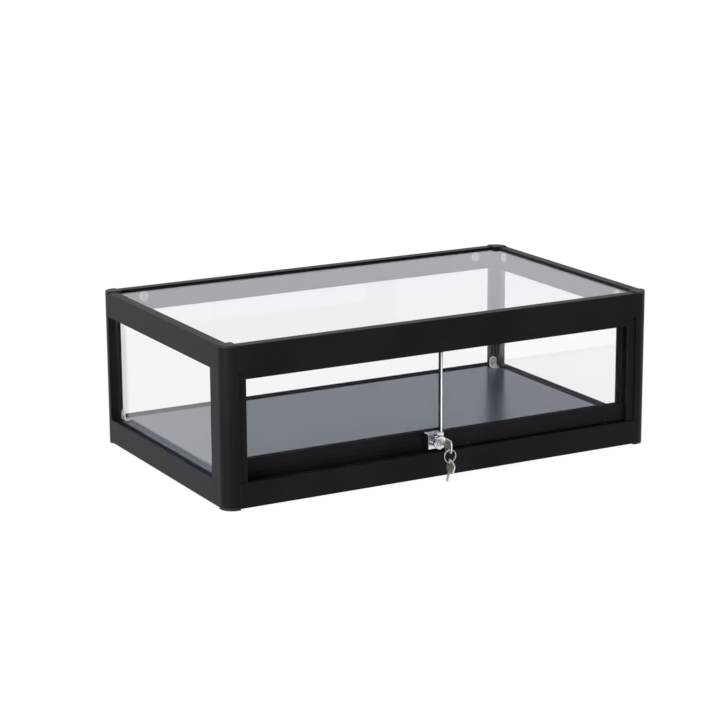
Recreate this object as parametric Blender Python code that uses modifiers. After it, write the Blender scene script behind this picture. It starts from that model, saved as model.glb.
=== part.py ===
"""Counter-top glass display showcase with two sliding glass doors and a push lock.

Units are metres; X runs to the right, Y to the back and Z up. The case is drawn about its
own centre line, and one empty carries every part, so that the origin of the whole model is
the middle of the footprint on the ground, with the keys that hang in front counted in.
"""

import math

import bmesh
import bpy
from mathutils import Matrix, Vector

# ---------------------------------------------------------------- overall size
WIDTH = 0.750
DEPTH = 0.450
HEIGHT = 0.250
GAP = 0.0003
KEYS_REACH = 0.0492
LEFT, RIGHT = -WIDTH / 2, WIDTH / 2
FRONT, BACK = -DEPTH / 2, DEPTH / 2

# ---------------------------------------------------------------- corner posts
POST = 0.024
POST_RADIUS = 0.020
POST_ARC_STEPS = 12
POST_PORT_RADIUS = 0.0060
POST_PORT_INSET = 0.0125
FOOT_HEIGHT = 0.0042
CAP_BOTTOM = 0.2466
POST_INNER_X = RIGHT - POST
POST_INNER_Y = BACK - POST

# ---------------------------------------------------------------- rails
TOP_RAIL_BOTTOM = 0.2100
RAIL_TOP = 0.2488
BOTTOM_RAIL_BOTTOM = 0.0022
BOTTOM_RAIL_TOP = 0.0400
RAIL_WALL = 0.0020
RAIL_EDGE = 0.0006
TOP_FLANGE = 0.0163
GLASS_LEDGE = 0.2407
PANE_CENTRE = 0.0165
PANE_SLOT_WIDTH = 0.0080
POST_SLOT_DEPTH = 0.0025
RAIL_SLOT_TOP = 0.2170
RAIL_SLOT_FLOOR = 0.0300
RAIL_RECESS_FLOOR = 0.0335
BOARD_LEDGE = 0.0310
BOARD_LEDGE_REACH = 0.0340
FRONT_SHELF_REACH = 0.0500

# ---------------------------------------------------------------- glass and base board
TOP_GLASS_THICKNESS = 0.0050
PANE_THICKNESS = 0.0040
PANE_IN_POST = 0.0020
BOARD_TOP = 0.0375
BOARD_INSET = 0.0188
BOARD_FRONT = FRONT + 0.0385

# ---------------------------------------------------------------- sliding door frame
TRACK_FLOOR_TOP = 0.0365
TRACK_FRONT_TOP = 0.0400
TRACK_RIB_TOP = 0.0465
TOP_TRACK_BOTTOM = 0.1967
TOP_TRACK_CEILING = 0.2065
JAMB_WIDTH = 0.0130
DOOR_MIDDLE = FRONT + 0.0220
DOOR_PITCH = 0.0140
FILLER_THICKNESS = 0.0020
FILLER_BACK = FRONT + 0.0475

# ---------------------------------------------------------------- doors
DOOR_Y = {"front": DOOR_MIDDLE - DOOR_PITCH / 2, "rear": DOOR_MIDDLE + DOOR_PITCH / 2}
DOOR_OUTER_X = 0.3470
DOOR_OVERLAP = 0.0064
DOOR_GLASS_THICKNESS = 0.0050
DOOR_GLASS_TOP = 0.2045
SHOE_THICKNESS = 0.0100
SHOE_BOTTOM = 0.0412
SHOE_TOP = 0.0700
SHOE_GLASS_FLOOR = 0.0560
SHOE_ROLLER_ROOF = 0.0535
SHOE_GROOVE_Z = 0.0600
SEAL_WIDTH = 0.0020
SEAL_WALL = 0.0008
ROLLER_RADIUS = 0.0080
ROLLER_WIDTH = 0.0050
AXLE_RADIUS = 0.0015
ROLLER_Z = TRACK_FLOOR_TOP + GAP + ROLLER_RADIUS
ROLLER_INSET = 0.0450

# ---------------------------------------------------------------- lock and keys
LOCK_X = -0.0145
LOCK_Z = 0.0575
LOCK_BODY_WIDTH = 0.0277
LOCK_BODY_BOTTOM = 0.0440
LOCK_BODY_TOP = 0.0690
LOCK_BODY_FRONT = FRONT + 0.0070
LOCK_BODY_BACK = FRONT + 0.0205
BARREL_RADIUS = 0.0085
COLLAR_RADIUS = 0.0110
COLLAR_FRONT = FRONT - 0.0070
COLLAR_THICKNESS = 0.0038
BARREL_BACK = FRONT + 0.0090
NOSE_RADIUS = 0.0040
NOSE_LENGTH = 0.0060
PLUG_RADIUS = 0.0055
PLUG_FRONT = COLLAR_FRONT - 0.0005
PLUG_LENGTH = 0.0145
KEY_THICKNESS = 0.0020
KEY_LENGTH = 0.0385
KEY_BOW_LENGTH = 0.0200
KEY_BLADE_HEIGHT = 0.0066
KEY_HOLE = (0.0045, -0.0045)
KEY_HOLE_RADIUS = 0.0021
KEY_FRONT = FRONT - 0.0400
RING_RADIUS = 0.0098
RING_WIRE = 0.00065
SPARE_TILT = math.radians(24)
STRIKE_SIZE = 0.0190
STRIKE_THICKNESS = 0.0024
STRIKE_HOLE_RADIUS = 0.0046

# ---------------------------------------------------------------- clear fittings
CLIP_RADIUS = 0.0078
CLIP_Z = 0.2328
CLIP_X = 0.3120
CLIP_Y = 0.1700
CLIP_THICKNESS = 0.0026
BRACKET_X = 0.3546
BRACKET_WIDTH = 0.0130
BRACKET_LEG = 0.0175
BRACKET_FOOT = 0.0140
BRACKET_THICKNESS = 0.0020

# offsets back from the front face, shared by the door tracks and the jambs
TRACK_FRONT = 0.0065
TRACK_FRONT_WALL = 0.0080
RIB_FRONT = 0.0210
RIB_BACK = 0.0230
TRACK_BACK_WALL = 0.0360
TRACK_BACK = 0.0375
TOP_TRACK_FRONT = 0.0030
TOP_TRACK_BACK = 0.0405
JAMB_BACK_FLANGE = (0.0362, 0.0382)
JAMB_WEB = 0.0017
BOARD_FRONT_NOTCH = 0.0200
ROLLER_CHAMFER = 0.0006
LOCK_GROOVES = (0.0062, 0.0092, 0.0185, 0.0215)
LOCK_GROOVE_WIDTH = 0.0010
LOCK_GROOVE_DEPTH = 0.0007
BRACKET_LEFT_Y = 0.1940
BRACKET_RIGHT_X = 0.3480

# how far cutting shapes pass the face they cut
CUT_MARGIN = 0.0020
TRIM_MARGIN = 0.0010
TRIM_HEIGHT = 0.0050
THROUGH = 0.0200
SCREW_HOLE_RADIUS = 0.0016


# ---------------------------------------------------------------- scene and helpers
def clear_scene():
    for obj in list(bpy.data.objects):
        bpy.data.objects.remove(obj, do_unlink=True)


def new_collection(name):
    collection = bpy.data.collections.new(name)
    bpy.context.scene.collection.children.link(collection)
    return collection


def material(name, colour, roughness, metallic=0.0, transmission=0.0):
    mat = bpy.data.materials.new(name)
    mat.use_nodes = True
    shader = mat.node_tree.nodes["Principled BSDF"]
    shader.inputs["Base Color"].default_value = (*colour, 1.0)
    shader.inputs["Roughness"].default_value = roughness
    shader.inputs["Metallic"].default_value = metallic
    shader.inputs["Transmission Weight"].default_value = transmission
    return mat


def add_object(name, mesh, mat, matrix, smooth=True):
    """Links a mesh as one part of the showcase, placed by matrix in the case's own frame."""
    obj = bpy.data.objects.new(name, mesh)
    PARTS.objects.link(obj)
    if mat is not None:
        mesh.materials.clear()
        mesh.materials.append(mat)
    if smooth:
        mesh.shade_smooth()
        mesh.set_sharp_from_angle(angle=math.radians(30))
    obj.matrix_world = matrix
    obj.parent = CASE
    return obj


def arc(centre, radius, start, end, steps):
    """Points on a circle from angle start to end, in degrees, both ends included."""
    points = []
    for i in range(steps + 1):
        angle = math.radians(start + (end - start) * i / steps)
        points.append((centre[0] + radius * math.cos(angle), centre[1] + radius * math.sin(angle)))
    return points


def circle(centre, radius, steps=24):
    return arc(centre, radius, 0, 360 - 360 / steps, steps - 1)


def extruded_mesh(name, outline, length, holes=()):
    """A flat outline with holes, extruded evenly to both sides of its plane, as a welded mesh."""
    curve = bpy.data.curves.new(name, "CURVE")
    curve.dimensions = "2D"
    curve.fill_mode = "BOTH"
    curve.extrude = length / 2
    for points in (outline, *holes):
        spline = curve.splines.new("POLY")
        spline.points.add(len(points) - 1)
        for point, (x, y) in zip(spline.points, points):
            point.co = (x, y, 0, 1)
        spline.use_cyclic_u = True
    guide = bpy.data.objects.new(name + "_outline", curve)
    PARTS.objects.link(guide)
    bpy.context.view_layer.update()
    evaluated = guide.evaluated_get(bpy.context.evaluated_depsgraph_get())
    mesh = bpy.data.meshes.new_from_object(evaluated)
    bpy.data.objects.remove(guide, do_unlink=True)
    bm = bmesh.new()
    bm.from_mesh(mesh)
    bmesh.ops.remove_doubles(bm, verts=bm.verts, dist=1e-6)
    bmesh.ops.recalc_face_normals(bm, faces=bm.faces)
    bm.to_mesh(mesh)
    bm.free()
    mesh.name = name
    return mesh


def box_mesh(name, low, high):
    """A box between two corners."""
    size = Vector(high) - Vector(low)
    centre = (Vector(high) + Vector(low)) / 2
    mesh = bpy.data.meshes.new(name)
    bm = bmesh.new()
    bmesh.ops.create_cube(bm, size=1.0, matrix=Matrix.Translation(centre) @ Matrix.Diagonal((*size, 1)))
    bm.to_mesh(mesh)
    bm.free()
    return mesh


def turned(name, profile, mat, matrix, steps=32):
    """A solid turned about its own Z axis from (radius, height) points that run down its outer side."""
    mesh = bpy.data.meshes.new(name)
    bm = bmesh.new()
    verts = [bm.verts.new((radius, 0, height)) for radius, height in profile]
    for first, second in zip(verts, verts[1:]):
        bm.edges.new((first, second))
    bm.to_mesh(mesh)
    bm.free()
    obj = add_object(name, mesh, mat, matrix, smooth=False)
    screw = obj.modifiers.new("turn", "SCREW")
    screw.axis = "Z"
    screw.steps = steps
    screw.render_steps = steps
    screw.use_merge_vertices = True
    screw.merge_threshold = 0.00001
    return obj


def cylinder_cutter(name, radius, length, matrix, steps=32):
    """A round cutter about its own Z axis, kept out of the model."""
    mesh = bpy.data.meshes.new(name)
    bm = bmesh.new()
    bmesh.ops.create_cone(
        bm, cap_ends=True, segments=steps, radius1=radius, radius2=radius, depth=length
    )
    bm.to_mesh(mesh)
    bm.free()
    return add_cutter(name, mesh, matrix)


def add_cutter(name, mesh, matrix=Matrix.Identity(4)):
    obj = bpy.data.objects.new(name, mesh)
    CUTTERS.objects.link(obj)
    obj.matrix_world = matrix
    obj.parent = CASE
    obj.hide_render = True
    obj.display_type = "WIRE"
    return obj


def cut(obj, cutter):
    boolean = obj.modifiers.new("cut_" + cutter.name, "BOOLEAN")
    boolean.operation = "DIFFERENCE"
    boolean.solver = "EXACT"
    boolean.object = cutter


def side_frame(side):
    """A frame on one side of the case: x points inward from the outer face, y up, z along the side."""
    inward = {"front": (0, 1, 0), "back": (0, -1, 0), "left": (1, 0, 0), "right": (-1, 0, 0)}[side]
    origin = {
        "front": (0, FRONT, 0),
        "back": (0, BACK, 0),
        "left": (LEFT, 0, 0),
        "right": (RIGHT, 0, 0),
    }[side]
    x = Vector(inward)
    y = Vector((0, 0, 1))
    rotation = Matrix((x, y, x.cross(y))).transposed().to_4x4()
    return Matrix.Translation(origin) @ rotation


def along_y(x, y, z):
    """A frame whose z axis points to the front, for turned parts that lie along Y."""
    return Matrix.Translation((x, y, z)) @ Matrix.Rotation(math.radians(90), 4, "X")


def upright(x, y, z):
    return Matrix.Translation((x, y, z))


CORNERS = {
    "front_left": (-1, -1),
    "front_right": (1, -1),
    "back_left": (-1, 1),
    "back_right": (1, 1),
}


def corner_frame(corner, z):
    """A frame at an outer corner of the case, turned so that x and y both point inward."""
    turns = {"front_left": 0, "front_right": 90, "back_right": 180, "back_left": 270}
    sx, sy = CORNERS[corner]
    place = Matrix.Translation((sx * WIDTH / 2, sy * DEPTH / 2, z))
    return place @ Matrix.Rotation(math.radians(turns[corner]), 4, "Z")


# ---------------------------------------------------------------- corner posts, feet and caps
def post_outline(slots):
    """Square post section with one large rounded corner, and a pane slot in each inner face."""
    low = PANE_CENTRE - PANE_SLOT_WIDTH / 2
    high = PANE_CENTRE + PANE_SLOT_WIDTH / 2
    floor = POST - POST_SLOT_DEPTH
    points = arc((POST_RADIUS, POST_RADIUS), POST_RADIUS, 180, 270, POST_ARC_STEPS)
    points.append((POST, 0))
    if slots:
        points += [(POST, low), (floor, low), (floor, high), (POST, high)]
    points.append((POST, POST))
    if slots:
        points += [(high, POST), (high, floor), (low, floor), (low, POST)]
    points.append((0, POST))
    return points


def add_posts():
    port = circle((POST_PORT_INSET, POST_PORT_INSET), POST_PORT_RADIUS)
    low = FOOT_HEIGHT + GAP
    high = CAP_BOTTOM - GAP
    for corner in CORNERS:
        mesh = extruded_mesh("post_" + corner, post_outline(True), high - low, [port])
        add_object("post_" + corner, mesh, BLACK_METAL, corner_frame(corner, (low + high) / 2))


def add_post_ends(prefix, low, high, mat):
    """Moulded caps that close the posts; their rims are eased."""
    for corner in CORNERS:
        mesh = extruded_mesh(prefix + corner, post_outline(False), high - low)
        obj = add_object(prefix + corner, mesh, mat, corner_frame(corner, (low + high) / 2))
        bevel = obj.modifiers.new("eased_rim", "BEVEL")
        bevel.width = 0.0007
        bevel.segments = 2
        bevel.limit_method = "ANGLE"
        bevel.angle_limit = math.radians(40)


# ---------------------------------------------------------------- rails
def top_rail_section(pane_slot):
    low = PANE_CENTRE - PANE_SLOT_WIDTH / 2
    high = PANE_CENTRE + PANE_SLOT_WIDTH / 2
    points = [(0, TOP_RAIL_BOTTOM)]
    if pane_slot:
        points += [
            (low, TOP_RAIL_BOTTOM),
            (low, RAIL_SLOT_TOP),
            (high, RAIL_SLOT_TOP),
            (high, TOP_RAIL_BOTTOM),
        ]
    points += [
        (POST, TOP_RAIL_BOTTOM),
        (POST, GLASS_LEDGE),
        (TOP_FLANGE, GLASS_LEDGE),
        (TOP_FLANGE, RAIL_TOP),
        (RAIL_EDGE, RAIL_TOP),
        (0, RAIL_TOP - RAIL_EDGE),
    ]
    return points


def top_rail_hollow():
    floor = RAIL_SLOT_TOP + RAIL_WALL
    return [
        (RAIL_WALL, floor),
        (POST - RAIL_WALL, floor),
        (POST - RAIL_WALL, GLASS_LEDGE - RAIL_WALL),
        (TOP_FLANGE - RAIL_WALL, GLASS_LEDGE - RAIL_WALL),
        (TOP_FLANGE - RAIL_WALL, RAIL_TOP - RAIL_WALL),
        (RAIL_WALL, RAIL_TOP - RAIL_WALL),
    ]


def bottom_rail_section():
    """Outer lip, sunk recess, pane slot and a ledge under the base board."""
    low = PANE_CENTRE - PANE_SLOT_WIDTH / 2
    high = PANE_CENTRE + PANE_SLOT_WIDTH / 2
    return [
        (0, BOTTOM_RAIL_BOTTOM),
        (POST, BOTTOM_RAIL_BOTTOM),
        (POST, BOARD_LEDGE - RAIL_WALL),
        (BOARD_LEDGE_REACH, BOARD_LEDGE - RAIL_WALL),
        (BOARD_LEDGE_REACH, BOARD_LEDGE),
        (high, BOARD_LEDGE),
        (high, RAIL_SLOT_FLOOR),
        (low, RAIL_SLOT_FLOOR),
        (low, RAIL_RECESS_FLOOR),
        (RAIL_WALL, RAIL_RECESS_FLOOR),
        (RAIL_WALL, BOTTOM_RAIL_TOP),
        (RAIL_EDGE, BOTTOM_RAIL_TOP),
        (0, BOTTOM_RAIL_TOP - RAIL_EDGE),
    ]


def front_bottom_rail_section():
    """Outer lip and a deep shelf that carries the door track and the board's front edge."""
    return [
        (0, BOTTOM_RAIL_BOTTOM),
        (POST, BOTTOM_RAIL_BOTTOM),
        (POST, BOARD_LEDGE - RAIL_WALL),
        (FRONT_SHELF_REACH, BOARD_LEDGE - RAIL_WALL),
        (FRONT_SHELF_REACH, BOARD_LEDGE),
        (RAIL_WALL, BOARD_LEDGE),
        (RAIL_WALL, BOTTOM_RAIL_TOP),
        (RAIL_EDGE, BOTTOM_RAIL_TOP),
        (0, BOTTOM_RAIL_TOP - RAIL_EDGE),
    ]


def bottom_rail_hollow():
    low = BOTTOM_RAIL_BOTTOM + RAIL_WALL
    high = RAIL_SLOT_FLOOR - RAIL_WALL
    return [
        (RAIL_WALL, low),
        (POST - RAIL_WALL, low),
        (POST - RAIL_WALL, high),
        (RAIL_WALL, high),
    ]


def rail_length(side):
    return (WIDTH if side in ("front", "back") else DEPTH) - 2 * POST - 2 * GAP


def add_rails():
    for side in ("front", "back", "left", "right"):
        top = extruded_mesh(
            "top_rail_" + side,
            top_rail_section(side != "front"),
            rail_length(side),
            [top_rail_hollow()],
        )
        add_object("top_rail_" + side, top, BLACK_METAL, side_frame(side))
        section = front_bottom_rail_section() if side == "front" else bottom_rail_section()
        if side == "front":
            bottom = extruded_mesh(
                "bottom_rail_" + side, section, rail_length(side), [bottom_rail_hollow()]
            )
            add_object("bottom_rail_" + side, bottom, BLACK_METAL, side_frame(side))
            continue
        bottom = extruded_mesh(
            "bottom_rail_" + side, section, rail_length(side), [bottom_rail_hollow()]
        )
        obj = add_object("bottom_rail_" + side, bottom, BLACK_METAL, side_frame(side))
        trim_ledge(obj, side)


def trim_ledge(rail, side):
    """The board ledges of the side rails stop short of the ledges that cross them."""
    if side == "back":
        return
    reach = BOARD_LEDGE_REACH + TRIM_MARGIN
    front_stop = FRONT + FRONT_SHELF_REACH + TRIM_MARGIN
    sx = -1 if side == "left" else 1
    inner = sx * POST_INNER_X
    edge = sx * (POST_INNER_X - THROUGH)
    low_x, high_x = sorted((inner - sx * 0.00001, edge))
    for name, y0, y1 in (
        ("ledge_back_" + side, BACK - reach, BACK),
        ("ledge_front_" + side, FRONT, front_stop),
    ):
        mesh = box_mesh(
            name, (low_x, y0, BOARD_LEDGE - TRIM_HEIGHT), (high_x, y1, BOARD_LEDGE + TRIM_HEIGHT)
        )
        cut(rail, add_cutter(name, mesh))


# ---------------------------------------------------------------- fixed glass and base board
def add_top_glass():
    """Top pane, notched at its corners to pass the posts."""
    half_x = RIGHT - TOP_FLANGE - GAP
    half_y = BACK - TOP_FLANGE - GAP
    notch_x = POST_INNER_X - GAP
    notch_y = POST_INNER_Y - GAP
    outline = []
    for sx, sy in ((1, 1), (-1, 1), (-1, -1), (1, -1)):
        corner = [(sx * half_x, sy * notch_y), (sx * notch_x, sy * notch_y), (sx * notch_x, sy * half_y)]
        outline += corner if sx * sy > 0 else corner[::-1]
    mesh = extruded_mesh("top_glass", outline, TOP_GLASS_THICKNESS)
    z = GLASS_LEDGE + GAP + TOP_GLASS_THICKNESS / 2
    add_object("top_glass", mesh, GLASS, upright(0, 0, z))


def add_side_glass():
    """Fixed panes at the two ends and the back, standing in the slots of posts and rails."""
    low = RAIL_SLOT_FLOOR + 0.0005
    high = RAIL_SLOT_TOP - 0.0005
    inner = PANE_CENTRE - PANE_THICKNESS / 2
    outer = PANE_CENTRE + PANE_THICKNESS / 2
    back_end = POST_INNER_Y + PANE_IN_POST
    front_end = FILLER_BACK + GAP
    half_x = POST_INNER_X + PANE_IN_POST
    boxes = {
        "glass_left": ((LEFT + inner, front_end, low), (LEFT + outer, back_end, high)),
        "glass_right": ((RIGHT - outer, front_end, low), (RIGHT - inner, back_end, high)),
        "glass_back": ((-half_x, BACK - outer, low), (half_x, BACK - inner, high)),
    }
    for name, (corner_low, corner_high) in boxes.items():
        add_object(name, box_mesh(name, corner_low, corner_high), GLASS, Matrix.Identity(4))


def add_base_board():
    """Board on the rail ledges, up to the panes, notched at its corners to pass the posts."""
    half = RIGHT - BOARD_INSET
    back = BACK - BOARD_INSET
    notch_x = POST_INNER_X - GAP
    notch_y = POST_INNER_Y - GAP
    outline = [
        (-half, -notch_y + BOARD_FRONT_NOTCH),
        (-notch_x, -notch_y + BOARD_FRONT_NOTCH),
        (-notch_x, BOARD_FRONT),
        (notch_x, BOARD_FRONT),
        (notch_x, -notch_y + BOARD_FRONT_NOTCH),
        (half, -notch_y + BOARD_FRONT_NOTCH),
        (half, notch_y),
        (notch_x, notch_y),
        (notch_x, back),
        (-notch_x, back),
        (-notch_x, notch_y),
        (-half, notch_y),
    ]
    low = BOARD_LEDGE + GAP
    mesh = extruded_mesh("base_board", outline, BOARD_TOP - low)
    add_object("base_board", mesh, BOARD, upright(0, 0, (low + BOARD_TOP) / 2))


# ---------------------------------------------------------------- door tracks, jambs and side covers
def add_door_tracks():
    half = POST_INNER_X - GAP
    floor = BOARD_LEDGE + GAP
    bottom = [
        (RAIL_WALL + GAP, floor),
        (TRACK_BACK, floor),
        (TRACK_BACK, TRACK_RIB_TOP),
        (TRACK_BACK_WALL, TRACK_RIB_TOP),
        (TRACK_BACK_WALL, TRACK_FLOOR_TOP),
        (RIB_BACK, TRACK_FLOOR_TOP),
        (RIB_BACK, TRACK_RIB_TOP),
        (RIB_FRONT, TRACK_RIB_TOP),
        (RIB_FRONT, TRACK_FLOOR_TOP),
        (TRACK_FRONT_WALL, TRACK_FLOOR_TOP),
        (TRACK_FRONT_WALL, TRACK_FRONT_TOP),
        (TRACK_FRONT, TRACK_FRONT_TOP),
        (TRACK_FRONT, TRACK_FLOOR_TOP),
        (RAIL_WALL + GAP, TRACK_FLOOR_TOP),
    ]
    length = 2 * (half - JAMB_WIDTH - GAP)
    mesh = extruded_mesh("door_track_bottom", bottom, length)
    add_object("door_track_bottom", mesh, BLACK_METAL, side_frame("front"))
    channel = 0.0045
    centres = [y - FRONT for y in sorted(DOOR_Y.values())]
    top = [(TOP_TRACK_FRONT, TOP_TRACK_BOTTOM)]
    for centre in centres:
        top += [
            (centre - channel, TOP_TRACK_BOTTOM),
            (centre - channel, TOP_TRACK_CEILING),
            (centre + channel, TOP_TRACK_CEILING),
            (centre + channel, TOP_TRACK_BOTTOM),
        ]
    roof = TOP_RAIL_BOTTOM - GAP
    top += [(TOP_TRACK_BACK, TOP_TRACK_BOTTOM), (TOP_TRACK_BACK, roof), (TOP_TRACK_FRONT, roof)]
    mesh = extruded_mesh("door_track_top", top, 2 * half)
    add_object("door_track_top", mesh, BLACK_METAL, side_frame("front"))


def add_jambs():
    """Upright channels at both ends of the doorway, one groove for each door."""
    web = JAMB_WEB
    flanges = ((TOP_TRACK_FRONT, TRACK_FRONT_WALL), (RIB_FRONT, RIB_BACK), JAMB_BACK_FLANGE)
    outer = POST_INNER_X - GAP
    inner = outer - JAMB_WIDTH
    low = BOARD_LEDGE + GAP
    high = TOP_TRACK_BOTTOM - GAP
    for name, sx in (("jamb_left", -1), ("jamb_right", 1)):
        outline = [(sx * outer, FRONT + flanges[0][0])]
        for start, end in flanges:
            outline += [(sx * inner, FRONT + start), (sx * inner, FRONT + end)]
            if end != flanges[-1][1]:
                following = flanges[flanges.index((start, end)) + 1][0]
                outline += [
                    (sx * (outer - web), FRONT + end),
                    (sx * (outer - web), FRONT + following),
                ]
        outline.append((sx * outer, FRONT + flanges[-1][1]))
        if sx > 0:
            outline.reverse()
        mesh = extruded_mesh(name, outline, high - low)
        add_object(name, mesh, BLACK_METAL, upright(0, 0, (low + high) / 2))


def add_side_covers():
    """Angle strips that close the door zone at each end and stop the end pane."""
    low = BOTTOM_RAIL_TOP + GAP
    high = TOP_RAIL_BOTTOM - GAP
    start = FRONT + POST + GAP
    face = RIGHT - 0.0004
    reach = RIGHT - PANE_CENTRE - PANE_SLOT_WIDTH / 2
    for name, sx in (("side_cover_left", -1), ("side_cover_right", 1)):
        outline = [
            (sx * face, start),
            (sx * (face - FILLER_THICKNESS), start),
            (sx * (face - FILLER_THICKNESS), FILLER_BACK - FILLER_THICKNESS),
            (sx * reach, FILLER_BACK - FILLER_THICKNESS),
            (sx * reach, FILLER_BACK),
            (sx * face, FILLER_BACK),
        ]
        mesh = extruded_mesh(name, outline, high - low)
        add_object(name, mesh, BLACK_METAL, upright(0, 0, (low + high) / 2))


# ---------------------------------------------------------------- sliding doors
def door_span(door):
    """Left and right end of a door: they overlap at the middle of the case."""
    if door == "front":
        return 0.0, DOOR_OUTER_X
    return -DOOR_OUTER_X, DOOR_OVERLAP


def shoe_section():
    """Bottom profile of a door: glass slot above, roller slot below and a fine groove on each face."""
    half = SHOE_THICKNESS / 2
    glass = DOOR_GLASS_THICKNESS / 2 + GAP
    roller = ROLLER_WIDTH / 2 + 0.0005
    groove = 0.0005
    ease = 0.0007
    right_side = [
        (roller, SHOE_ROLLER_ROOF),
        (roller, SHOE_BOTTOM),
        (half, SHOE_BOTTOM),
        (half, SHOE_GROOVE_Z - groove),
        (half - groove, SHOE_GROOVE_Z - groove),
        (half - groove, SHOE_GROOVE_Z + groove),
        (half, SHOE_GROOVE_Z + groove),
        (half, SHOE_TOP - ease),
        (half - ease, SHOE_TOP),
        (glass, SHOE_TOP),
        (glass, SHOE_GLASS_FLOOR),
    ]
    return right_side + [(-x, z) for x, z in reversed(right_side)]


def add_door(door):
    start, end = door_span(door)
    y = DOOR_Y[door]
    middle = (start + end) / 2
    half_glass = DOOR_GLASS_THICKNESS / 2
    glass_end = end - SEAL_WALL - GAP if door == "rear" else end
    glass = box_mesh(
        door + "_door_glass",
        (start, y - half_glass, SHOE_GLASS_FLOOR + GAP),
        (glass_end, y + half_glass, DOOR_GLASS_TOP),
    )
    obj = add_object(door + "_door_glass", glass, GLASS, Matrix.Identity(4))
    bevel = obj.modifiers.new("polished_arris", "BEVEL")
    bevel.width = 0.0006
    bevel.segments = 1
    if door == "rear":
        add_door_seal(end, y)
    mesh = extruded_mesh(door + "_door_shoe", shoe_section(), end - start)
    frame = Matrix.Translation((middle, y - FRONT, 0)) @ side_frame("front")
    shoe = add_object(door + "_door_shoe", mesh, BLACK_METAL, frame)
    for side, x in (("left", start + ROLLER_INSET), ("right", end - ROLLER_INSET)):
        add_roller(door, side, x, y)
        bore = cylinder_cutter(
            f"bore_{door}_{side}", AXLE_RADIUS + GAP, 0.02, along_y(x, y, ROLLER_Z), 20
        )
        cut(shoe, bore)


def add_door_seal(end, y):
    """Black channel pressed over the free upright edge of the rear pane."""
    inner = DOOR_GLASS_THICKNESS / 2 + GAP
    outer = inner + SEAL_WALL
    outline = [
        (end, y - outer),
        (end, y + outer),
        (end - SEAL_WIDTH, y + outer),
        (end - SEAL_WIDTH, y + inner),
        (end - SEAL_WALL, y + inner),
        (end - SEAL_WALL, y - inner),
        (end - SEAL_WIDTH, y - inner),
        (end - SEAL_WIDTH, y - outer),
    ]
    low = SHOE_TOP + GAP
    mesh = extruded_mesh("rear_door_seal", outline, DOOR_GLASS_TOP - low)
    add_object("rear_door_seal", mesh, RUBBER, upright(0, 0, (low + DOOR_GLASS_TOP) / 2))


def add_roller(door, side, x, y):
    """Grooved nylon wheel on a steel pin across the shoe."""
    half = ROLLER_WIDTH / 2
    bore = AXLE_RADIUS + GAP
    rim = ROLLER_RADIUS
    profile = [
        (bore, half),
        (rim - ROLLER_CHAMFER, half),
        (rim, half - ROLLER_CHAMFER),
        (rim, -half + ROLLER_CHAMFER),
        (rim - ROLLER_CHAMFER, -half),
        (bore, -half),
        (bore, half),
    ]
    frame = along_y(x, y, ROLLER_Z)
    turned(f"{door}_door_roller_{side}", profile, NYLON, frame, 28)
    pin = SHOE_THICKNESS / 2 - 0.0002
    ease = 0.0003
    profile = [
        (0, pin),
        (AXLE_RADIUS - ease, pin),
        (AXLE_RADIUS, pin - ease),
        (AXLE_RADIUS, -pin + ease),
        (AXLE_RADIUS - ease, -pin),
        (0, -pin),
    ]
    turned(f"{door}_door_axle_{side}", profile, STEEL, frame, 16)


# ---------------------------------------------------------------- push lock
def add_lock_body():
    low = (-GAP - LOCK_BODY_WIDTH, LOCK_BODY_FRONT, LOCK_BODY_BOTTOM)
    high = (-GAP, LOCK_BODY_BACK, LOCK_BODY_TOP)
    obj = add_object("lock_body", box_mesh("lock_body", low, high), CHROME, Matrix.Identity(4))
    bevel = obj.modifiers.new("cast_edges", "BEVEL")
    bevel.width = 0.0008
    bevel.segments = 2
    for x in LOCK_GROOVES:
        low = (
            -x - GAP - LOCK_GROOVE_WIDTH / 2, LOCK_BODY_FRONT - CUT_MARGIN, LOCK_BODY_TOP - LOCK_GROOVE_DEPTH
        )
        high = (-x - GAP + LOCK_GROOVE_WIDTH / 2, LOCK_BODY_BACK + CUT_MARGIN, LOCK_BODY_TOP + CUT_MARGIN)
        name = f"lock_groove_{round(x * 10000)}"
        cut(obj, add_cutter(name, box_mesh(name, low, high)))
    bore = along_y(LOCK_X, LOCK_BODY_FRONT, LOCK_Z)
    cut(obj, cylinder_cutter("lock_bore", BARREL_RADIUS + GAP, 2 * THROUGH, bore))


def add_lock_barrel():
    """Push-in barrel: collar at the front, nose at the back, and a bore for the plug."""
    front = 0.0
    back_of_collar = front - COLLAR_THICKNESS
    back = -(BARREL_BACK - COLLAR_FRONT)
    bore = PLUG_RADIUS + GAP
    bore_end = PLUG_FRONT + PLUG_LENGTH + GAP - COLLAR_FRONT
    ease = 0.0008
    profile = [
        (0, -bore_end),
        (bore, -bore_end),
        (bore, front),
        (COLLAR_RADIUS - 2 * ease, front),
        (COLLAR_RADIUS, front - ease),
        (COLLAR_RADIUS, back_of_collar + ease / 2),
        (COLLAR_RADIUS - ease / 2, back_of_collar),
        (BARREL_RADIUS, back_of_collar),
        (BARREL_RADIUS, back),
        (NOSE_RADIUS, back),
        (NOSE_RADIUS, back - NOSE_LENGTH + ease),
        (NOSE_RADIUS - ease, back - NOSE_LENGTH),
        (0, back - NOSE_LENGTH),
    ]
    turned("lock_barrel", profile, CHROME, along_y(LOCK_X, COLLAR_FRONT, LOCK_Z), 40)


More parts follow.
